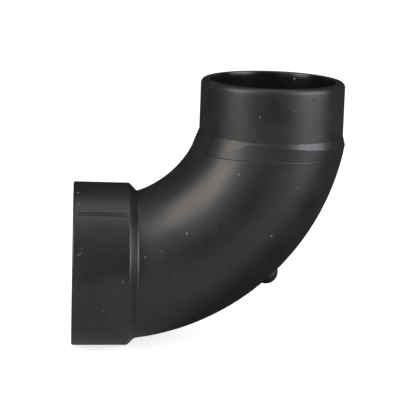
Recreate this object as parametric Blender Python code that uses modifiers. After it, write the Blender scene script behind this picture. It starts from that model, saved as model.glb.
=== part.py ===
"""Two-inch drain-waste-vent street elbow: a hub that takes a pipe, a quarter bend and a spigot.

The real fitting is one black ABS moulding. It is built here as its three zones, parted at the crease
behind the hub and at the mould line below the spigot. Units are metres, +Z is up, the spigot points up
and the hub points along -X. Construction is about the crossing of the two axes. The finished fitting
then stands with the middle of its footprint at the origin.
"""

import math

import bmesh
import bpy
from mathutils import Vector

MM = 0.001

# Spigot
SPIGOT_OD = 60.3 * MM             # same outside size as the pipe
SPIGOT_WALL = 3.9 * MM
SPIGOT_REACH = 79.8 * MM          # axis crossing to the spigot's end
SPIGOT_LENGTH = 22.1 * MM         # straight length from its root to its end
SPIGOT_DRAFT = 0.1 * MM           # taper on the radius over that length
RIM_ROUND = 2.0 * MM              # rounding of the outer edge at the open end
RIM_BREAK = 0.4 * MM              # broken inner edge at the open end
ROOT_SLOPE = math.radians(27)     # lean of the shoulder below the root, from the axis
COLLAR_HEIGHT = 7.5 * MM          # root to the mould line below it

# Hub
SOCKET_DEPTH = 19.05 * MM
SOCKET_CLEARANCE = 0.15 * MM      # on the radius at the mouth
SOCKET_TAPER = 0.25 * MM          # narrowing of the radius down to the pipe stop
SOCKET_ENTRY = 0.8 * MM           # entry chamfer
HUB_WALL = 4.3 * MM               # at the mouth
HUB_REACH = 82.2 * MM             # axis crossing to the mouth
HUB_LENGTH = 23.45 * MM           # mouth to the edge of the shoulder
HUB_DRAFT = 0.2 * MM              # taper on the radius over that length
HUB_EDGE = 0.5 * MM               # broken outer edge at the mouth
SHOULDER_STEP = 3.0 * MM          # the 45 degree shoulder, along the axis and on the radius

# Bend
BEND_WALL = 4.3 * MM              # over the waterway, on the middle of the bend
BEND_RADIUS = 70.9 * MM           # centreline radius of the outside surface
BEND_OFFSET = 1.8 * MM            # the outside surface swings this far outside both axes

# Gate vestige: the stub left where the plastic was injected
GATE_BASE_RADIUS = 4.4 * MM
GATE_TOP_RADIUS = 3.2 * MM
GATE_HEIGHT = 2.6 * MM            # above the bend's surface
GATE_ROUND = 1.0 * MM
GATE_ANGLE = math.radians(45)     # halfway round the bend
GATE_SIDE = math.radians(15)      # off the bend's middle line, towards -Y
GATE_ROOT = 2.0 * MM              # depth that it is sunk into the bend's wall

# Meshing
SEAM_GAP = 0.1 * MM               # left between the zones
SIDES = 48                        # facets round a tube
ARC_STEPS = 24                    # facets along the bend
ROUND_STEPS = 4                   # facets on a rounded edge
MERGE = 0.00001
CUT_OVERRUN = 6.0 * MM            # how far the waterway's cutter runs past what it opens

# Sizes that follow
SPIGOT_RADIUS = SPIGOT_OD / 2
WATERWAY_RADIUS = SPIGOT_RADIUS - SPIGOT_WALL
ROOT_HEIGHT = SPIGOT_REACH - SPIGOT_LENGTH
MOULD_LINE_HEIGHT = ROOT_HEIGHT - COLLAR_HEIGHT
SOCKET_MOUTH_RADIUS = SPIGOT_RADIUS + SOCKET_CLEARANCE
SOCKET_STOP_RADIUS = SOCKET_MOUTH_RADIUS - SOCKET_TAPER
HUB_RADIUS = SOCKET_MOUTH_RADIUS + HUB_WALL
STOP_REACH = HUB_REACH - SOCKET_DEPTH
SHOULDER_REACH = HUB_REACH - HUB_LENGTH
CREASE_REACH = SHOULDER_REACH - SHOULDER_STEP
BEND_TUBE_RADIUS = WATERWAY_RADIUS + BEND_WALL
BEND_CENTRE = Vector((BEND_OFFSET - BEND_RADIUS, 0, BEND_RADIUS - BEND_OFFSET))

ABS_BLACK = (0.018, 0.018, 0.019, 1.0)
ABS_ROUGHNESS = 0.42


def clear_scene():
    for obj in list(bpy.data.objects):
        bpy.data.objects.remove(obj, do_unlink=True)


def new_collection(name):
    collection = bpy.data.collections.new(name)
    bpy.context.scene.collection.children.link(collection)
    return collection


def abs_plastic(name):
    material = bpy.data.materials.new(name)
    material.use_nodes = True
    shader = material.node_tree.nodes["Principled BSDF"]
    shader.inputs["Base Color"].default_value = ABS_BLACK
    shader.inputs["Roughness"].default_value = ABS_ROUGHNESS
    shader.inputs["Metallic"].default_value = 0.0
    return material


def new_object(name, mesh, collection):
    obj = bpy.data.objects.new(name, mesh)
    collection.objects.link(obj)
    return obj


def rounded_corner(corner, start, end, steps=ROUND_STEPS):
    """Points of a quarter round from start to end, bulging towards corner, in (radius, reach)."""
    points = []
    for step in range(steps + 1):
        turn = math.radians(90) * step / steps
        across = 1 - math.cos(turn)
        along = math.sin(turn)
        points.append(tuple(
            s + (c - s) * along + (e - c) * across for s, c, e in zip(start, corner, end)
        ))
    return points


def evaluated_mesh(obj):
    """The object's shape with its modifiers, as a welded mesh of its own."""
    graph = bpy.context.evaluated_depsgraph_get()
    mesh = bpy.data.meshes.new_from_object(obj.evaluated_get(graph))
    shape = bmesh.new()
    shape.from_mesh(mesh)
    bmesh.ops.remove_doubles(shape, verts=shape.verts, dist=MERGE)
    bmesh.ops.recalc_face_normals(shape, faces=shape.faces)
    shape.to_mesh(mesh)
    shape.free()
    return mesh


def turned_solid(name, profile, collection, flats=False):
    """A closed profile of (radius, height) points turned about Z. With flats, facets touch each radius."""
    mesh = bpy.data.meshes.new(name)
    count = len(profile)
    edges = [(i, (i + 1) % count) for i in range(count)]
    side = math.tan(math.pi / SIDES) if flats else 0
    mesh.from_pydata([(radius, radius * side, height) for radius, height in profile], edges, [])
    obj = new_object(name, mesh, collection)
    screw = obj.modifiers.new("turn", "SCREW")
    screw.axis = "Z"
    screw.steps = SIDES
    screw.render_steps = SIDES
    screw.use_merge_vertices = True
    screw.merge_threshold = MERGE
    obj.data = evaluated_mesh(obj)
    obj.modifiers.clear()
    return obj


def swept_tube(name, path, radius, collection):
    """A solid round bar along a path of points in the XZ plane."""
    curve = bpy.data.curves.new(name + "_path", "CURVE")
    curve.dimensions = "3D"
    curve.bevel_depth = radius
    curve.bevel_resolution = SIDES // 2 - 2
    curve.use_fill_caps = True
    spline = curve.splines.new("POLY")
    spline.points.add(len(path) - 1)
    for point, place in zip(spline.points, path):
        point.co = (*place, 1)
    bar = new_object(name + "_path", curve, collection)
    obj = new_object(name, evaluated_mesh(bar), collection)
    bpy.data.objects.remove(bar)
    return obj


def arc_points(centre, radius, start, end, steps=ARC_STEPS):
    """Points round a bend: 0 is level with the centre on the spigot's side, 90 degrees is below it."""
    turns = [start + (end - start) * step / steps for step in range(steps + 1)]
    return [centre + radius * Vector((math.cos(t), 0, -math.sin(t))) for t in turns]


def trim(obj, place, outward):
    """Cuts the object with a plane, throws away the side that outward points to and closes the cut."""
    shape = bmesh.new()
    shape.from_mesh(obj.data)
    everything = [*shape.verts, *shape.edges, *shape.faces]
    bmesh.ops.bisect_plane(shape, geom=everything, dist=MERGE / 10, plane_co=place,
                           plane_no=outward, clear_outer=True)
    bmesh.ops.holes_fill(shape, edges=[e for e in shape.edges if e.is_boundary])
    bmesh.ops.recalc_face_normals(shape, faces=shape.faces)
    shape.to_mesh(obj.data)
    shape.free()


def boolean(obj, other, operation):
    modifier = obj.modifiers.new(operation.lower() + "_" + other.name, "BOOLEAN")
    modifier.operation = operation
    modifier.object = other
    modifier.solver = "EXACT"


def as_helper(obj):
    obj.hide_render = True
    obj.display_type = "WIRE"
    return obj


def waterway_cutter(helpers):
    """The bore: straight out of the spigot, round the bend, and into the socket past the pipe stop."""
    centre = Vector((-STOP_REACH, 0, STOP_REACH))
    path = [Vector((0, 0, SPIGOT_REACH + CUT_OVERRUN))]
    path += arc_points(centre, STOP_REACH, 0, math.radians(90))
    path.append(Vector((-STOP_REACH - CUT_OVERRUN, 0, 0)))
    return as_helper(swept_tube("waterway_cutter", path, WATERWAY_RADIUS, helpers))


def bend_skin(name, collection):
    """The bend's outside surface as a solid bar that runs on straight past both ends."""
    top = max(SPIGOT_REACH, BEND_CENTRE.z) + CUT_OVERRUN
    left = min(-HUB_REACH, BEND_CENTRE.x) - CUT_OVERRUN
    path = [Vector((BEND_OFFSET, 0, top))]
    path += arc_points(BEND_CENTRE, BEND_RADIUS, 0, math.radians(90))
    path.append(Vector((left, 0, -BEND_OFFSET)))
    return swept_tube(name, path, BEND_TUBE_RADIUS, collection)


def hub(parts):
    """The socket that takes a pipe, with its pipe stop and the 45 degree shoulder behind it."""
    shoulder_radius = HUB_RADIUS - HUB_DRAFT
    profile = [
        (0, STOP_REACH),
        (SOCKET_STOP_RADIUS, STOP_REACH),
        (SOCKET_MOUTH_RADIUS, HUB_REACH - SOCKET_ENTRY),
        (SOCKET_MOUTH_RADIUS + SOCKET_ENTRY, HUB_REACH),
        (HUB_RADIUS - HUB_EDGE, HUB_REACH),
        (HUB_RADIUS, HUB_REACH - HUB_EDGE),
        (shoulder_radius, SHOULDER_REACH),
        (shoulder_radius - SHOULDER_STEP, CREASE_REACH),
        (0, CREASE_REACH),
    ]
    obj = turned_solid("hub", profile, parts, flats=True)
    obj.rotation_euler = (0, math.radians(-90), 0)
    return obj


def collar_surround(helpers):
    """Everything outside the bend's surface, from the mould line up to the spigot's root."""
    reach = 2 * SPIGOT_RADIUS
    foot = MOULD_LINE_HEIGHT - CUT_OVERRUN
    profile = [(0, foot), (reach, foot), (reach, ROOT_HEIGHT), (0, ROOT_HEIGHT)]
    obj = turned_solid("collar_surround", profile, helpers)
    boolean(obj, as_helper(bend_skin("collar_skin", helpers)), "DIFFERENCE")
    return as_helper(obj)


def spigot(parts, helpers):
    """The plain end for another fitting's socket, sloping out at its root to a collar of the bend's shape."""
    end_radius = SPIGOT_RADIUS - SPIGOT_DRAFT
    foot = MOULD_LINE_HEIGHT + SEAM_GAP
    profile = [
        (0, foot),
        (SPIGOT_RADIUS + (ROOT_HEIGHT - foot) * math.tan(ROOT_SLOPE), foot),
        (SPIGOT_RADIUS, ROOT_HEIGHT),
    ]
    profile += rounded_corner(
        (end_radius, SPIGOT_REACH),
        (end_radius, SPIGOT_REACH - RIM_ROUND),
        (end_radius - RIM_ROUND, SPIGOT_REACH),
    )
    profile += [
        (WATERWAY_RADIUS + RIM_BREAK, SPIGOT_REACH),
        (WATERWAY_RADIUS - RIM_BREAK, SPIGOT_REACH - 2 * RIM_BREAK),
        (0, SPIGOT_REACH - 2 * RIM_BREAK),
    ]
    obj = turned_solid("spigot", profile, parts)
    boolean(obj, collar_surround(helpers), "DIFFERENCE")
    return obj


def gate_vestige(helpers):
    """A stub cone standing out of the bend's back, with its top edge rounded."""
    profile = [(0, -GATE_ROOT), (GATE_BASE_RADIUS, -GATE_ROOT), (GATE_BASE_RADIUS, 0)]
    profile += rounded_corner(
        (GATE_TOP_RADIUS, GATE_HEIGHT),
        (GATE_TOP_RADIUS + GATE_ROUND, GATE_HEIGHT - GATE_ROUND),
        (GATE_TOP_RADIUS - GATE_ROUND, GATE_HEIGHT),
    )
    profile.append((0, GATE_HEIGHT))
    obj = turned_solid("gate_vestige", profile, helpers)
    radial = Vector((math.cos(GATE_ANGLE), 0, -math.sin(GATE_ANGLE)))
    outward = radial * math.cos(GATE_SIDE) + Vector((0, -math.sin(GATE_SIDE), 0))
    obj.rotation_euler = outward.to_track_quat("Z", "Y").to_euler()
    obj.location = BEND_CENTRE + BEND_RADIUS * radial + BEND_TUBE_RADIUS * outward
    return as_helper(obj)


def bend(parts, helpers):
    """The quarter turn between the hub's crease and the mould line below the spigot."""
    obj = bend_skin("bend", parts)
    trim(obj, Vector((0, 0, MOULD_LINE_HEIGHT)), Vector((0, 0, 1)))
    trim(obj, Vector((SEAM_GAP - CREASE_REACH, 0, 0)), Vector((-1, 0, 0)))
    boolean(obj, gate_vestige(helpers), "UNION")
    return obj


def stand_on_floor(zones, parts, helpers):
    """Moves the axis crossing so that the middle of the footprint, at floor level, is the origin."""
    graph = bpy.context.evaluated_depsgraph_get()
    corners = [
        obj.matrix_world @ Vector(corner)
        for obj in zones
        for corner in obj.evaluated_get(graph).bound_box
    ]
    xs, ys, zs = zip(*corners)
    crossing = bpy.data.objects.new("axis_crossing", None)
    parts.objects.link(crossing)
    crossing.location = (-(min(xs) + max(xs)) / 2, -(min(ys) + max(ys)) / 2, -min(zs))
    for obj in [*zones, *helpers.objects]:
        obj.parent = crossing


def main():
    clear_scene()
    parts = new_collection("street_elbow")
    helpers = new_collection("cutters")
    cutter = waterway_cutter(helpers)
    zones = [hub(parts), bend(parts, helpers), spigot(parts, helpers)]

    for obj in zones:
        boolean(obj, cutter, "DIFFERENCE")
        obj.data.materials.append(abs_plastic("abs_" + obj.name))
        obj.data.shade_smooth()
        obj.data.set_sharp_from_angle(angle=math.radians(30))
    stand_on_floor(zones, parts, helpers)


main()
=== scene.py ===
import bpy
import numpy as np
from mathutils import Matrix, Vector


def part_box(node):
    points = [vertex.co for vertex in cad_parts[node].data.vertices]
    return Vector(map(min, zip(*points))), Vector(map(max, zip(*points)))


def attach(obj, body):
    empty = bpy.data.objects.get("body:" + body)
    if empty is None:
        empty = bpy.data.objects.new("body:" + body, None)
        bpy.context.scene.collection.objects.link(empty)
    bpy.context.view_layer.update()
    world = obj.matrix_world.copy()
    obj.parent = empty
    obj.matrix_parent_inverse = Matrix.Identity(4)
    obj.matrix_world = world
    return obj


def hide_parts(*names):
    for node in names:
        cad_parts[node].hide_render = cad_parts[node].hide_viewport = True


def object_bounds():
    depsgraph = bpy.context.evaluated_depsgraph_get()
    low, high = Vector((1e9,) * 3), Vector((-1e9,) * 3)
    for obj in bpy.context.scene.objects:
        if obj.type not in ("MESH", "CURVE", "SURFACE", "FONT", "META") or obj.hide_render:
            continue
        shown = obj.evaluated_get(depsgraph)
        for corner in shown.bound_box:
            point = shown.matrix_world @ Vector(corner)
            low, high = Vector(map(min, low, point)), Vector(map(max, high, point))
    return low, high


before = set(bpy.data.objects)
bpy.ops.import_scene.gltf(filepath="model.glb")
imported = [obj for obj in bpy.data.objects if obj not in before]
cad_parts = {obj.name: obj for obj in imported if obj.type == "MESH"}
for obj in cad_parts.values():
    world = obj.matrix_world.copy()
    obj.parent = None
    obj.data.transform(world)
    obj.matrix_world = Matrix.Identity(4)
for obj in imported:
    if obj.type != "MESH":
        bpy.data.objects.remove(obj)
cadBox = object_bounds()
print("frame loaded")

mm = 0.001

# The crossing of the two pipe axes: level with the hub's middle, and one hub reach in from its mouth.
hubReach = 82.2 * mm
hubLow, hubHigh = (np.array(corner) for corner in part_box("hub"))
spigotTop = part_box("spigot")[1][2]
crossing = np.array([hubLow[0] + hubReach, 0.0, (hubLow[2] + hubHigh[2]) / 2])


def hexColour(code, alpha=1.0):
    # An sRGB hex code as the linear colour that sockets take.
    srgb = np.array([int(code[i:i + 2], 16) for i in (1, 3, 5)]) / 255
    linear = np.where(srgb <= 0.04045, srgb / 12.92, ((srgb + 0.055) / 1.055) ** 2.4)
    return (*linear.tolist(), alpha)


def gridObject(name, points, closedAcross=True, closedAlong=False, poles=False):
    # Points on a grid, along by across, become one quad a cell; a closed direction joins its last row to its first.
    # With poles, the first row and the last are one point each.
    along, across = points.shape[:2]
    index = np.arange(along * across).reshape(along, across)
    if poles:
        index[0], index[-1] = index[0, 0], index[-1, 0]
    used, index = np.unique(index, return_inverse=True)
    index = index.reshape(along, across)
    if closedAlong:
        index = np.concatenate([index, index[:1]], axis=0)
    if closedAcross:
        index = np.concatenate([index, index[:, :1]], axis=1)
    quads = np.stack([index[:-1, :-1], index[:-1, 1:], index[1:, 1:], index[1:, :-1]], axis=-1).reshape(-1, 4)
    mesh = bpy.data.meshes.new(name)
    faces = [list(dict.fromkeys(quad)) for quad in quads.tolist()]
    mesh.from_pydata(points.reshape(-1, 3)[used].tolist(), [], faces)
    mesh.validate()
    obj = bpy.data.objects.new(name, mesh)
    bpy.context.scene.collection.objects.link(obj)
    return obj


# The moulding, as one skin

skinSet = {
    "spigotRadius": 30.15 * mm, "spigotDraft": 0.1 * mm, "spigotReach": spigotTop - crossing[2],
    "rimRound": 2.0 * mm, "rimBreak": 0.4 * mm, "root": 57.7 * mm, "rootRise": 0.9 * mm, "rootSlope": 0.27,
    "rootLean": 0.09, "rootEase": 0.006,
    "web": 5.6 * mm, "webStart": 0.36, "webFull": 0.71, "webProud": 0.18 * mm,
    "mouldLine": 50.2 * mm, "mouldLineDepth": 0.075 * mm, "mouldLineLip": 0.055 * mm, "mouldLineSpan": 0.22 * mm,
    "mouldLineWander": 0.1 * mm, "mouldLineClear": 0.5 * mm,
    "bendRadius": 70.9 * mm, "tubeRadius": 30.55 * mm, "bendOffset": 1.8 * mm,
    "crease": 55.75 * mm, "creaseRadius": 31.4 * mm, "creaseFillet": 1.0 * mm,
    "shoulder": 58.75 * mm, "shoulderRadius": 34.4 * mm, "shoulderRound": 0.5 * mm,
    "hubRadius": 34.6 * mm, "hubEdge": 0.7 * mm, "socketRadius": 30.3 * mm, "stopRadius": 30.05 * mm,
    "socketEntry": 0.8 * mm, "stop": 63.15 * mm, "stopEase": 0.4 * mm, "bore": 26.25 * mm, "boreLip": 0.3 * mm,
    "boreEnd": 0.004, "partingHeight": 0.09 * mm, "partingWidth": 0.0075, "partingSteps": (0.004, 0.008, 0.016),
    "around": 264, "bendRows": 130, "boreRows": 60,
}
# The mould insert that shaped the hub's front: its witness lines, by reach from the crossing and arc from the front.
insertSet = {
    "reachLow": 60.0 * mm, "reachHigh": 81.0 * mm, "arc": 29.75 * mm, "radius": 34.5 * mm,
    "pairHalf": 0.6 * mm, "lineWidth": 0.42 * mm, "lineDepth": 0.13 * mm, "lineEnd": 0.06 * mm, "lowerShare": 0.35,
    "outside": 33.0 * mm,
}
bendCentreX = skinSet["bendOffset"] - skinSet["bendRadius"]
bendCentreZ = -bendCentreX


def witnessAngles(p):
    # Where the insert's three lines cross the hub: a pair above the front, which is at three quarters, and one below.
    turn, half = p["arc"] / p["radius"], p["pairHalf"] / p["radius"]
    return 1.5 * np.pi + np.array([-turn - half, -turn + half, turn])


def aroundAngles(s, p):
    # Even steps round the tube, with finer steps across the two parting lines at 0 and half a turn, and across the
    # insert's lines.
    even = np.linspace(0, 2 * np.pi, s["around"], endpoint=False)
    fine = np.outer([-1, 1], s["partingSteps"]).ravel()
    cross = np.linspace(-1, 1, 5) * p["lineWidth"] / p["radius"]
    lines = (witnessAngles(p)[:, None] + cross).ravel()
    extra = np.concatenate([fine, np.pi + fine, lines])
    return np.unique(np.round(np.mod(np.concatenate([even, extra]), 2 * np.pi), 9))


def witnessGroove(angle, p):
    # A shallow vee at each of the insert's lines, by the arc from the line's middle; the lower one is shallower.
    depth = 0
    for line, share in zip(witnessAngles(p), (1, 1, p["lowerShare"])):
        depth = depth + share * np.clip(1 - np.abs(angle - line) * p["radius"] / p["lineWidth"], 0, 1)
    return depth * p["lineDepth"]


def arcRows(start, end, centre, rows):
    # A quarter round from start to end about centre, as (radius, reach) rows.
    turn = np.linspace(0, np.pi / 2, rows)[:, None]
    start, end, centre = (np.array(p) for p in (start, end, centre))
    return centre + (start - centre) * np.cos(turn) + (end - centre) * np.sin(turn)


def spigotRings(rows, angle):
    # Rings about the spigot's axis: radius times (cos, sin), at a height; angle 0 is the outside of the bend.
    radius, height = rows[:, 0, None], rows[:, 1, None]
    return np.stack(np.broadcast_arrays(radius * np.cos(angle), radius * np.sin(angle), height), axis=-1)


def hubRings(rows, angle):
    # Rings about the hub's axis, at a reach along -X; angle 0 is again the outside of the bend, now downwards.
    radius, reach = rows[:, 0, None], rows[:, 1, None]
    return np.stack(np.broadcast_arrays(-reach, radius * np.sin(angle), -radius * np.cos(angle)), axis=-1)


def torusRings(turn, angle, radius, tube, centreX, centreZ):
    # A torus: a circle of the tube's radius carried round the bend; turn 0 is at the spigot, a quarter turn at the hub.
    out = radius + tube * np.cos(angle)
    return np.stack(np.broadcast_arrays(
        centreX + out * np.cos(turn), tube * np.sin(angle), centreZ - out * np.sin(turn)), axis=-1)


def levelSection(height, angle, tube, s):
    # The bend's outline at a height: where the torus crosses that level.
    out = s["bendRadius"] + tube * np.cos(angle)
    x = bendCentreX + np.sqrt(out ** 2 - (bendCentreZ - height) ** 2)
    return np.stack(np.broadcast_arrays(x, tube * np.sin(angle), height), axis=-1)


def bezierRings(start, corner, end, rows):
    # Rings that leave start towards corner and arrive at end from it, along a parabola at each angle.
    t = np.linspace(0, 1, rows)[:, None, None]
    return (1 - t) ** 2 * start + 2 * t * (1 - t) * corner + t ** 2 * end


def partingRidge(angle, width):
    # A low ridge that falls off with the angle from the nearer parting line.
    off = np.abs(np.mod(angle + np.pi / 2, np.pi) - np.pi / 2)
    return np.clip(1 - off / width, 0, 1)


def shoulderLines(angle, s):
    # The root line and the foot of the slope below it, as heights at each angle. A cone leaves the root and ends where
    # it reaches the bend's skin; inside the bend, a web in the corner takes over and widens. The third value is the
    # tube's radius at the foot, a little proud under the web.
    section = levelSection(s["root"] - np.array([[0.0], [1.0]]) * mm, angle, s["tubeRadius"], s)
    reach = np.hypot(section[..., 0], section[..., 1])
    lean = (reach[:1] - reach[1:]) / mm
    cone = (reach[:1] - s["spigotRadius"]) / np.maximum(s["rootSlope"] + lean, s["rootLean"])
    inner = np.clip(-np.cos(angle), 0, 1)
    web = s["web"] * np.clip((inner - s["webStart"]) / (s["webFull"] - s["webStart"]), 0, 1)
    rise = s["rootRise"] * np.clip((inner - s["webStart"]) / (1 - s["webStart"]), 0, 1)
    return s["root"] + rise, s["root"] - np.maximum(cone, web), s["tubeRadius"] + s["webProud"] * web / s["web"]


def mouldingSkin(s, p):
    angle = aroundAngles(s, p)[None, :]
    ridge = partingRidge(angle, s["partingWidth"]) * s["partingHeight"]
    endRadius = s["spigotRadius"] - s["spigotDraft"]
    top = s["spigotReach"]

    # Rim: broken inner edge, flat, rounded outer edge; then down the spigot to its root.
    rim = np.concatenate([
        arcRows((s["bore"], top - s["rimBreak"]), (s["bore"] + s["rimBreak"], top),
                (s["bore"] + s["rimBreak"], top - s["rimBreak"]), 5),
        arcRows((endRadius - s["rimRound"], top), (endRadius, top - s["rimRound"]),
                (endRadius - s["rimRound"], top - s["rimRound"]), 13),
    ])
    rootLine, slopeFoot, footTube = shoulderLines(angle, s)
    share = np.append(np.linspace(0, 1, 12)[1:-1], [1 - s["rootEase"], 1.0])[:, None]
    wallRadius = endRadius + s["spigotDraft"] * share
    wallHeight = top - s["rimRound"] + (rootLine - top + s["rimRound"]) * share
    spigotWall = np.stack(np.broadcast_arrays(
        wallRadius * np.cos(angle), wallRadius * np.sin(angle), wallHeight), axis=-1)

    # Shoulder: straight lines from the root line to the slope's foot. Collar: the bend's own section at each level.
    foot = levelSection(slopeFoot, angle, footTube, s)
    share = np.append(np.append([0.05], np.linspace(0, 1, 9)[1:-1]), [0.94, 1.0])[:, None, None]
    shoulder = spigotWall[-1:] + (foot - spigotWall[-1:]) * share
    collarEnd = s["mouldLine"] + s["mouldLineClear"]
    share = np.append([0.04], np.linspace(0, 1, 9)[1:])[:, None]
    collarTube = footTube + (s["tubeRadius"] - footTube) * share
    collar = levelSection(slopeFoot + (collarEnd - slopeFoot) * share, angle, collarTube, s)
    wander = s["mouldLineWander"] * (np.sin(7 * angle) + 0.6 * np.sin(17 * angle + 1))
    lineHeight = s["mouldLine"] + wander + np.array([[1.0], [0.0], [-1.0], [-2.6]]) * s["mouldLineSpan"]
    lineInset = np.array([[0.0], [s["mouldLineDepth"]], [-s["mouldLineLip"]], [0.0]])
    mouldLine = levelSection(lineHeight, angle, s["tubeRadius"] - lineInset, s)

    # Bend: the torus between the mould line's level and the start of the fillet at the hub's crease.
    ridged = s["tubeRadius"] + ridge
    outer = s["bendRadius"] + ridged * np.cos(angle)
    startTurn = np.arcsin((bendCentreZ - lineHeight[-1]) / outer)
    filletTurn = np.arccos((s["creaseFillet"] - s["crease"] - bendCentreX) / outer)
    creaseTurn = np.arccos((-s["crease"] - bendCentreX) / outer)
    share = np.linspace(0, 1, s["bendRows"])[1:, None]
    torus = (s["bendRadius"], ridged, bendCentreX, bendCentreZ)
    bend = torusRings(startTurn + (filletTurn - startTurn) * share, angle, *torus)

    # Hub: filleted crease, 45 degree shoulder, drafted wall, edge, mouth, entry, socket and pipe stop.
    mouth = hubReach
    up = s["creaseFillet"] / np.sqrt(2)
    slopeStart = hubRings(np.array([[s["creaseRadius"] + up, s["crease"] + up]]), angle)
    crease = bezierRings(bend[-1:], torusRings(creaseTurn, angle, *torus), slopeStart, 9)[1:]
    down = s["shoulderRound"] / np.sqrt(2)
    corner = bezierRings(*(hubRings(np.array([row]), angle) for row in (
        (s["shoulderRadius"] - down, s["shoulder"] - down), (s["shoulderRadius"], s["shoulder"]),
        (s["shoulderRadius"], s["shoulder"] + s["shoulderRound"]))), 6)
    edge = arcRows((s["hubRadius"], mouth - s["hubEdge"]), (s["hubRadius"] - s["hubEdge"], mouth),
                   (s["hubRadius"] - s["hubEdge"], mouth - s["hubEdge"]), 6)
    wallTop = np.array([[s["shoulderRadius"], s["shoulder"] + s["shoulderRound"]]])
    wallLength = edge[0, 1] - wallTop[0, 1]
    ends = np.array([p["reachLow"] - p["lineEnd"], p["reachLow"], p["reachHigh"], p["reachHigh"] + p["lineEnd"]])
    share = np.concatenate([[0.02], np.linspace(0, 1, 9)[1:-1], (ends - wallTop[0, 1]) / wallLength])
    share = np.sort(share)[:, None]
    hubWall = hubRings(wallTop + (edge[:1] - wallTop) * share, angle)
    fromMiddle = np.abs(wallTop[0, 1] + wallLength * share - (p["reachLow"] + p["reachHigh"]) / 2)
    inLine = fromMiddle < (p["reachHigh"] - p["reachLow"] + p["lineEnd"]) / 2
    relief = ridge - inLine * witnessGroove(angle, p)
    radial = hubWall * np.array([0, 1, 1])
    hubWall = hubWall + radial / np.linalg.norm(radial, axis=-1, keepdims=True) * relief[..., None]
    inside = np.array([
        [s["socketRadius"] + s["socketEntry"], mouth], [s["socketRadius"], mouth - s["socketEntry"]],
        [(s["socketRadius"] + s["stopRadius"]) / 2, (mouth + s["stop"]) / 2],
        [s["stopRadius"] + s["stopEase"] / 8, s["stop"] + s["stopEase"]],
        [s["stopRadius"] - s["stopEase"] * 7 / 8, s["stop"]], [s["bore"] + s["boreLip"], s["stop"]],
    ])

    # Waterway: the bore back round the bend, tangent to both axes, and straight up to the rim.
    boreTurn = np.linspace(np.pi / 2 - s["boreEnd"], 0, s["boreRows"])[:, None]
    waterway = torusRings(boreTurn, angle, s["stop"], s["bore"], -s["stop"], s["stop"])
    riser = spigotRings(np.array([[s["bore"], h] for h in np.linspace(s["stop"], rim[0, 1], 8)[1:-1]]), angle)

    rings = [spigotRings(rim, angle), spigotWall, shoulder, collar, mouldLine, bend, crease, corner, hubWall,
             hubRings(edge, angle), hubRings(inside, angle), waterway, riser]
    obj = gridObject("moulding", np.concatenate(rings)[:, ::-1] + crossing, closedAlong=True)
    # The rows that the mould's polished core made, for the material: glossier there, and darker as painted shade in the
    # bore.
    outside = sum(len(part) for part in rings[:-2])
    polished = np.zeros(sum(len(part) for part in rings), dtype=np.float32)
    polished[outside:] = 1
    polished[0] = 1
    attribute = obj.data.attributes.new("core_side_and_shade", "FLOAT", "POINT")
    attribute.data.foreach_set("value", np.repeat(polished, angle.size))
    return obj


moulding = mouldingSkin(skinSet, insertSet)
print("moulding", len(moulding.data.polygons), "faces")


# Gate vestige

gateSet = {
    "base": 4.4 * mm, "height": 2.5 * mm, "sunk": 0.7 * mm,
    "angle": np.radians(45.6), "side": np.radians(15), "around": 72, "rows": 26,
}


def gateVestige(g, s):
    # A low dome on the bend's skin: part of a sphere about a line square to the skin, carried on below it.
    ball = (g["base"] ** 2 + g["height"] ** 2) / (2 * g["height"])
    edge = np.arccos((ball - g["height"] - g["sunk"]) / ball)
    turn = np.linspace(edge, 0, g["rows"])
    dome = np.stack([ball * np.sin(turn), ball * np.cos(turn) - ball + g["height"]], axis=-1)
    rows = np.concatenate([[[0, -g["sunk"]]], dome])
    radius, height = rows[:, 0, None], rows[:, 1, None]
    turn = np.linspace(0, 2 * np.pi, g["around"], endpoint=False)[None, :]
    radial = np.array([np.cos(g["angle"]), 0, -np.sin(g["angle"])])
    outward = radial * np.cos(g["side"]) - np.array([0, np.sin(g["side"]), 0])
    along = np.array([np.sin(g["angle"]), 0, np.cos(g["angle"])])
    across = np.cross(outward, along)
    seat = np.array([bendCentreX, 0, bendCentreZ]) + radial * s["bendRadius"] + outward * s["tubeRadius"]
    sag = (radius * np.sin(turn)) ** 2 / (2 * s["tubeRadius"])
    points = (seat + outward * (height - sag)[..., None] + along * (radius * np.cos(turn))[..., None]
              + across * (radius * np.sin(turn))[..., None])
    return gridObject("gate_vestige", points + crossing, poles=True)


gate = gateVestige(gateSet, skinSet)
print("gate vestige", len(gate.data.polygons), "faces")


# Materials

def addNode(tree, kind, inputs=None, links=None, **settings):
    # One node with its settings, its socket values and the sockets that feed it.
    node = tree.nodes.new(kind)
    for key, value in settings.items():
        setattr(node, key, value)
    for key, value in (inputs or {}).items():
        node.inputs[key].default_value = value
    for key, socket in (links or {}).items():
        tree.links.new(socket, node.inputs[key])
    return node


def newMaterial(name):
    material = bpy.data.materials.new(name)
    material.use_nodes = True
    tree = material.node_tree
    tree.nodes.clear()
    return material, tree


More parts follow.
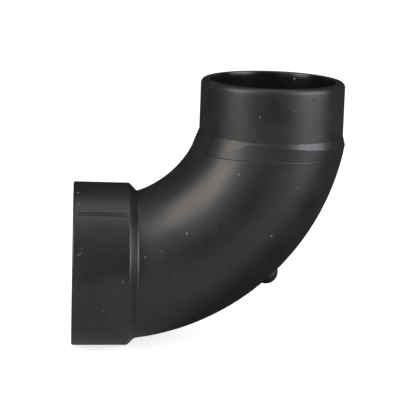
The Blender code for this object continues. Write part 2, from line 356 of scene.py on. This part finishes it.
absSet = {
    "base": "#1d1d1d", "cloud": "#282827", "smudge": "#0f0f0f",
    # Painted shade: the near-black darkens the insert's grooves, and the darker grey after it darkens the bore.
    "dust": "#8e8e8a", "grooveShade": "#040404", "core": "#121212",
    "cloudRange": (0.32, 0.68), "smudgeRange": (0.665, 0.75),
    "smudgeShown": 0.8, "grooveShadeShown": 0.95, "dustShown": 0.6, "scratchShown": 0.4,
    "roughness": 0.37, "roughnessSpread": 0.08, "smudgeRoughness": 0.10, "coreRoughness": 0.20,
    "specular": 0.5, "smudgeSpecular": 0.12,
    "cloudSize": 18 * mm, "smudgeSize": 2.6 * mm, "dustCell": 3.4 * mm, "dustRadius": 0.5 * mm, "dustShare": 0.22,
    "dustRagged": 0.45 * mm, "scratchCell": 8 * mm, "scratchRadius": 0.35 * mm, "scratchStretch": 0.1,
    "scratchTurn": (0.3, 0.7, 0.2), "ior": 1.5, "sharpAngle": np.radians(38),
    "grainSize": 0.6 * mm, "grainHeight": 0.008 * mm,
}
# Three marks of handling on the hub, by reach and arc; slant is in degrees.
wearSet = {
    "scratch": {"reach": 79.4 * mm, "arc": 12.15 * mm, "slant": 141, "shown": 0.8,
                "halfLong": 1.45 * mm, "halfWide": 0.26 * mm},
    "speck": {"reach": 78.3 * mm, "arc": 14.3 * mm, "slant": 141, "shown": 0.5,
              "halfLong": 0.4 * mm, "halfWide": 0.3 * mm},
    "scuff": {"reach": 61.7 * mm, "arc": 1.2 * mm, "slant": 60, "shown": 0.3,
              "halfLong": 0.95 * mm, "halfWide": 0.75 * mm},
}


def mathNode(tree, operation, first, second=None, third=None):
    # A Math node whose three inputs are sockets or plain numbers.
    node = tree.nodes.new("ShaderNodeMath")
    node.operation = operation
    for slot, value in enumerate((first, second, third)):
        if isinstance(value, bpy.types.NodeSocket):
            tree.links.new(value, node.inputs[slot])
        elif value is not None:
            node.inputs[slot].default_value = float(value)
    return node.outputs[0]


def ramp(tree, value, low, high, toLow=0.0, toHigh=1.0):
    return addNode(tree, "ShaderNodeMapRange", {
        "From Min": low, "From Max": high, "To Min": toLow, "To Max": toHigh}, {"Value": value}).outputs[0]


def noise(tree, place, size, detail=3.0, roughness=0.55):
    return addNode(tree, "ShaderNodeTexNoise", {"Scale": 1 / size, "Detail": detail, "Roughness": roughness},
                   {"Vector": place}).outputs["Fac"]


def mixColour(tree, factor, first, second):
    node = addNode(tree, "ShaderNodeMix", data_type="RGBA")
    for name, value in (("Factor", factor), ("A", first), ("B", second)):
        # A Mix node has sockets of one name for each data type, so the colour ones are picked by type.
        kind = "VALUE" if name == "Factor" else "RGBA"
        socket = next(k for k in node.inputs if k.name == name and k.type == kind)
        if isinstance(value, bpy.types.NodeSocket):
            tree.links.new(value, socket)
        else:
            socket.default_value = value
    return next(k for k in node.outputs if k.type == "RGBA")


def hubPlace(tree, place, p):
    # Reach along the hub's axis, arc round its wall from the front, and one on its outside, nought in the socket.
    axes = addNode(tree, "ShaderNodeSeparateXYZ", None, {"Vector": place}).outputs
    reach = mathNode(tree, "SUBTRACT", float(crossing[0]), axes["X"])
    rise = mathNode(tree, "SUBTRACT", axes["Z"], float(crossing[2]))
    turn = mathNode(tree, "ARCTAN2", rise, mathNode(tree, "MULTIPLY", axes["Y"], -1.0))
    arc = mathNode(tree, "MULTIPLY", turn, p["radius"])
    square = mathNode(tree, "MULTIPLY_ADD", rise, rise, mathNode(tree, "MULTIPLY", axes["Y"], axes["Y"]))
    return reach, arc, mathNode(tree, "GREATER_THAN", square, p["outside"] ** 2)


def insertLines(tree, reach, arc, outside, p):
    # The two witness lines of a mould insert along the hub, a double one above the front and a faint one below it.
    # The mask places painted shade in these lines.
    upper = mathNode(tree, "ABSOLUTE", mathNode(tree, "SUBTRACT", arc, p["arc"]))
    upper = mathNode(tree, "ABSOLUTE", mathNode(tree, "SUBTRACT", upper, p["pairHalf"]))
    lower = mathNode(tree, "ABSOLUTE", mathNode(tree, "ADD", arc, p["arc"]))
    line = mathNode(tree, "MAXIMUM", ramp(tree, upper, p["lineWidth"], 0.0),
                    ramp(tree, lower, p["lineWidth"], 0.0, 0.0, p["lowerShare"]))
    middle, half = (p["reachLow"] + p["reachHigh"]) / 2, (p["reachHigh"] - p["reachLow"]) / 2
    offReach = mathNode(tree, "ABSOLUTE", mathNode(tree, "SUBTRACT", reach, middle))
    line = mathNode(tree, "MULTIPLY", line, outside)
    return mathNode(tree, "MULTIPLY", line, mathNode(tree, "LESS_THAN", offReach, half))


def wearMark(tree, reach, arc, outside, w):
    # A pale oval on the hub's wall, its long axis slanted from the reach towards the arc, fading to its edge.
    lean = np.radians(w["slant"])
    offReach = mathNode(tree, "SUBTRACT", reach, w["reach"])
    offArc = mathNode(tree, "SUBTRACT", arc, w["arc"])
    far = []
    for half, alongReach, alongArc in ((w["halfLong"], np.cos(lean), np.sin(lean)),
                                       (w["halfWide"], -np.sin(lean), np.cos(lean))):
        off = mathNode(tree, "MULTIPLY_ADD", offReach, alongReach / half,
                       mathNode(tree, "MULTIPLY", offArc, alongArc / half))
        far.append(mathNode(tree, "MULTIPLY", off, off))
    return mathNode(tree, "MULTIPLY", ramp(tree, mathNode(tree, "ADD", *far), 1.0, 0.4, 0.0, w["shown"]), outside)


def flecks(tree, place, cell, radius, share):
    # One where a point lies in a fleck: a share of a random scatter's cells hold one, each of its own radius.
    scatter = addNode(tree, "ShaderNodeTexVoronoi", {"Scale": 1 / cell}, {"Vector": place})
    pick = addNode(tree, "ShaderNodeSeparateColor", None, {"Color": scatter.outputs["Color"]}).outputs
    reach = mathNode(tree, "MULTIPLY", pick["Green"], radius / cell)
    return mathNode(tree, "MULTIPLY", mathNode(tree, "LESS_THAN", scatter.outputs["Distance"], reach),
                    mathNode(tree, "LESS_THAN", pick["Red"], share))


def mouldedAbs(a):
    # Injection-moulded black ABS: a satin skin, cloudy from flow and smudged by handling, with fine grain, a few pale
    # specks and hairline scratches, and the witness lines of a mould insert on the hub, darkened with painted shade.
    # The waterway came off a polished core, so it is glossier; its darker colour is painted shade in the bore.
    material, tree = newMaterial("ABS, injection moulded, black")
    place = addNode(tree, "ShaderNodeTexCoord").outputs["Object"]
    cloud = ramp(tree, noise(tree, place, a["cloudSize"], 4.0, 0.6), *a["cloudRange"])
    smudge = ramp(tree, noise(tree, place, a["smudgeSize"], 4.0, 0.6), *a["smudgeRange"])
    wander = addNode(tree, "ShaderNodeTexNoise", {"Scale": 1 / a["dustRagged"], "Detail": 2.0}, {"Vector": place})
    shift = addNode(tree, "ShaderNodeVectorMath", {1: (2 * a["dustRagged"],) * 3}, {0: wander.outputs["Color"]},
                    operation="MULTIPLY")
    ragged = addNode(tree, "ShaderNodeVectorMath", None, {0: place, 1: shift.outputs["Vector"]}, operation="ADD")
    dust = flecks(tree, ragged.outputs["Vector"], a["dustCell"], a["dustRadius"], a["dustShare"])
    slanted = addNode(tree, "ShaderNodeMapping", {
        "Rotation": a["scratchTurn"], "Scale": (1.0, 1.0, a["scratchStretch"])}, {"Vector": place})
    scratch = flecks(tree, slanted.outputs["Vector"], a["scratchCell"], a["scratchRadius"], a["dustShare"])
    reach, arc, outside = hubPlace(tree, place, insertSet)
    line = insertLines(tree, reach, arc, outside, insertSet)
    for mark in wearSet.values():
        scratch = mathNode(tree, "MAXIMUM", scratch, wearMark(tree, reach, arc, outside, mark))
    core = addNode(tree, "ShaderNodeAttribute", attribute_name="core_side_and_shade").outputs["Fac"]
    clouded = mixColour(tree, cloud, hexColour(a["base"]), hexColour(a["cloud"]))
    # Painted shade: the bore and the rim's inner break take a darker colour.
    clouded = mixColour(tree, core, clouded, hexColour(a["core"]))
    smudged = mixColour(tree, mathNode(tree, "MULTIPLY", smudge, a["smudgeShown"]), clouded, hexColour(a["smudge"]))
    # Painted shade: the insert's witness grooves darkened almost to black.
    lineShaded = mixColour(tree, mathNode(tree, "MULTIPLY", line, a["grooveShadeShown"]), smudged, hexColour(a["grooveShade"]))
    pale = mathNode(tree, "MAXIMUM", mathNode(tree, "MULTIPLY", dust, a["dustShown"]),
                    mathNode(tree, "MULTIPLY", scratch, a["scratchShown"]))
    dusted = mixColour(tree, pale, lineShaded, hexColour(a["dust"]))
    rough = ramp(tree, cloud, 0.0, 1.0, a["roughness"] - a["roughnessSpread"] / 2,
                 a["roughness"] + a["roughnessSpread"] / 2)
    rough = mathNode(tree, "MULTIPLY_ADD", smudge, a["smudgeRoughness"], rough)
    rough = mathNode(tree, "MULTIPLY_ADD", core, a["coreRoughness"] - a["roughness"], rough)
    specular = ramp(tree, smudge, 0.0, 1.0, a["specular"], a["smudgeSpecular"])
    grain = addNode(tree, "ShaderNodeBump", {"Strength": 1.0, "Distance": a["grainHeight"]},
                    {"Height": noise(tree, place, a["grainSize"], 2.0)})
    shader = addNode(tree, "ShaderNodeBsdfPrincipled", {"IOR": a["ior"]}, {
        "Base Color": dusted, "Roughness": rough, "Specular IOR Level": specular, "Normal": grain.outputs["Normal"]})
    addNode(tree, "ShaderNodeOutputMaterial", None, {"Surface": shader.outputs["BSDF"]})
    return material


absPlastic = mouldedAbs(absSet)
for piece in (moulding, gate):
    piece.data.materials.append(absPlastic)
    piece.data.shade_smooth()
    piece.data.set_sharp_from_angle(angle=absSet["sharpAngle"])
    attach(piece, "root")
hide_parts("hub", "bend", "spigot")
print("materials")


# Floor, light and camera

stageSet = {
    "floorSide": 8.0, "floorDrop": 0.2 * mm, "floorRoughness": 0.9, "floor": "#e4e4e2", "floorReflected": "#343434",
    "nearReach": 0.08, "farReach": 0.45, "nearWhite": 0.74, "farWhite": 1.02,
    # The strip and the far glow are painted light, seen only in the fitting's gloss.
    "stripStart": 0.005, "stripFull": -0.035, "stripHold": -0.17, "stripEnd": -0.36,
    "stripGlow": 0.51, "farGlow": 0.03,
    "slantStart": -0.03, "slantEnd": 0.06, "slant": 0.042,
    "world": "#5a5a5a", "worldStrength": 0.12,
}


def studioFloor(f):
    # A flat sheet just under the fitting's lowest line. It is pale and near white to the camera, with the lamps'
    # shadow left in it close to the fitting. To all other rays it is dark grey, and in the fitting's own gloss it is
    # dim
    # but for painted light: a glowing strip in front, which steps further forward to the right, and a faint painted
    # glow everywhere else.
    side = np.linspace(-0.5, 0.5, 5) * f["floorSide"]
    across, along = np.meshgrid(side, side)
    points = np.stack([across, along, np.full_like(across, cadBox[0][2] - f["floorDrop"])], axis=-1)
    floor = gridObject("studio_floor", points, closedAcross=False)
    material, tree = newMaterial("Studio floor, pale matt paper, glowing in reflections")
    rays = addNode(tree, "ShaderNodeLightPath").outputs
    bounced = mathNode(tree, "MAXIMUM", rays["Is Glossy Ray"], rays["Is Transmission Ray"])
    place = addNode(tree, "ShaderNodeTexCoord").outputs["Object"]
    away = addNode(tree, "ShaderNodeVectorMath", None, {0: place}, operation="LENGTH").outputs["Value"]
    white = ramp(tree, away, f["nearReach"], f["farReach"], f["nearWhite"], f["farWhite"])
    axes = addNode(tree, "ShaderNodeSeparateXYZ", None, {"Vector": place}).outputs
    forward = mathNode(tree, "ADD", axes["Y"], ramp(tree, axes["X"], f["slantStart"], f["slantEnd"], 0.0, f["slant"]))
    # Painted light: a glowing strip in front, seen only in reflections, standing in for light on the table.
    paintedStrip = mathNode(tree, "MULTIPLY", ramp(tree, forward, f["stripStart"], f["stripFull"]),
                     ramp(tree, forward, f["stripEnd"], f["stripHold"]))
    paintedStrip = mathNode(tree, "MULTIPLY_ADD", paintedStrip, f["stripGlow"], f["farGlow"])
    glow = mathNode(tree, "MULTIPLY_ADD", rays["Is Camera Ray"], white, mathNode(tree, "MULTIPLY", bounced, paintedStrip))
    colour = mixColour(tree, rays["Is Camera Ray"], hexColour(f["floorReflected"]), hexColour(f["floor"]))
    shader = addNode(tree, "ShaderNodeBsdfPrincipled", {
        "Roughness": f["floorRoughness"], "Specular IOR Level": 0.0, "Emission Color": (1, 1, 1, 1)},
        {"Base Color": colour, "Emission Strength": glow})
    addNode(tree, "ShaderNodeOutputMaterial", None, {"Surface": shader.outputs["BSDF"]})
    floor.data.materials.append(material)
    return floor


def areaLamp(name, size, power, colour):
    lamp = bpy.data.lights.new(name, "AREA")
    lamp.shape = "RECTANGLE"
    lamp.size, lamp.size_y = size
    lamp.energy = power
    lamp.color = hexColour(colour)[:3]
    obj = bpy.data.objects.new(name, lamp)
    bpy.context.scene.collection.objects.link(obj)
    return obj


def softbox(name, azimuth, elevation, size, power, colour):
    # An area lamp at an azimuth from the front, positive to the right, facing the fitting's middle.
    obj = areaLamp(name, size, power, colour)
    turn, rise = np.radians(azimuth), np.radians(elevation)
    toward = np.array([np.sin(turn) * np.cos(rise), -np.cos(turn) * np.cos(rise), np.sin(rise)])
    aim = np.array([cadBox[0], cadBox[1]]).mean(axis=0)
    right = np.cross([0, 0, 1], toward)
    right = right / np.linalg.norm(right)
    turned = np.column_stack([right, np.cross(toward, right), toward])
    obj.matrix_world = Matrix.Translation((aim + toward * lampDistance).tolist()) @ Matrix(turned.tolist()).to_4x4()
    return obj


lampSet = {
    "left_low": {"azimuth": -60, "elevation": 14, "size": (0.40, 0.35), "power": 2.83, "colour": "#fff9f4"},
    "left_high": {"azimuth": -60, "elevation": 42, "size": (0.55, 0.37), "power": 2.80, "colour": "#fff9f4"},
    "front_left": {"azimuth": -30, "elevation": 14, "size": (0.40, 0.35), "power": 0.39, "colour": "#ffffff"},
    "right_low": {"azimuth": 62, "elevation": 14, "size": (0.46, 0.35), "power": 3.25, "colour": "#f6f7ff"},
    "front_right": {"azimuth": 42, "elevation": 14, "size": (0.26, 0.33), "power": 1.05, "colour": "#f6f7ff"},
    "right_high": {"azimuth": 60, "elevation": 42, "size": (0.55, 0.37), "power": 2.56, "colour": "#f6f7ff"},
    "overhead": {"azimuth": 0, "elevation": 89, "size": (0.55, 0.55), "power": 1.19, "colour": "#ffffff"},
}
lampDistance = 0.75
cardSet = {"place": (0.22, -0.17), "lift": 4 * mm, "side": 0.14, "power": 0.09}


def tableCard(c):
    # A small lit card lying on the table in front, facing up.
    card = areaLamp("table_card", (c["side"], c["side"]), c["power"], "#ffffff")
    card.matrix_world = Matrix.Translation((*c["place"], c["lift"])) @ Matrix.Rotation(np.pi, 4, "X")
    card.visible_camera = False


studioFloor(stageSet)
for lampName, lampValues in lampSet.items():
    softbox(lampName, **lampValues)
tableCard(cardSet)

world = bpy.data.worlds.new("Dim studio")
world.use_nodes = True
world.node_tree.nodes["Background"].inputs["Color"].default_value = hexColour(stageSet["world"])
world.node_tree.nodes["Background"].inputs["Strength"].default_value = stageSet["worldStrength"]
bpy.context.scene.world = world
print("floor and light")

# The camera as fitted to the photograph's outline: place in spigot diameters from the axis crossing, turn in degrees.
cameraSet = {
    "unit": 60.3 * mm, "place": (-1.32162, -10.93893, 2.82165),
    "yaw": -4.7044, "pitch": -12.397, "roll": -1.9116, "focalPixels": 1604.02, "framePixels": 416, "sensor": 36.0,
    "near": 0.01, "far": 50,
}


def turnAbout(axis, degrees):
    return np.array(Matrix.Rotation(np.radians(degrees), 3, axis))


def photoCamera(c):
    camera = bpy.data.cameras.new("photo_camera")
    camera.sensor_width = c["sensor"]
    camera.lens = c["focalPixels"] / c["framePixels"] * c["sensor"]
    camera.clip_start = c["near"]
    camera.clip_end = c["far"]
    obj = bpy.data.objects.new("photo_camera", camera)
    bpy.context.scene.collection.objects.link(obj)
    turned = turnAbout("Z", c["yaw"]) @ turnAbout("X", c["pitch"]) @ turnAbout("Y", c["roll"])
    level = np.array([[1, 0, 0], [0, 0, -1], [0, 1, 0]])
    right, down, depth = level @ turned.T
    axes = np.column_stack([right, -down, -depth])
    place = crossing + np.array(c["place"]) * c["unit"]
    obj.matrix_world = Matrix.Translation(place.tolist()) @ Matrix(axes.tolist()).to_4x4()
    return obj


scene = bpy.context.scene
scene.camera = photoCamera(cameraSet)
scene.view_settings.view_transform = "Standard"
print("camera")
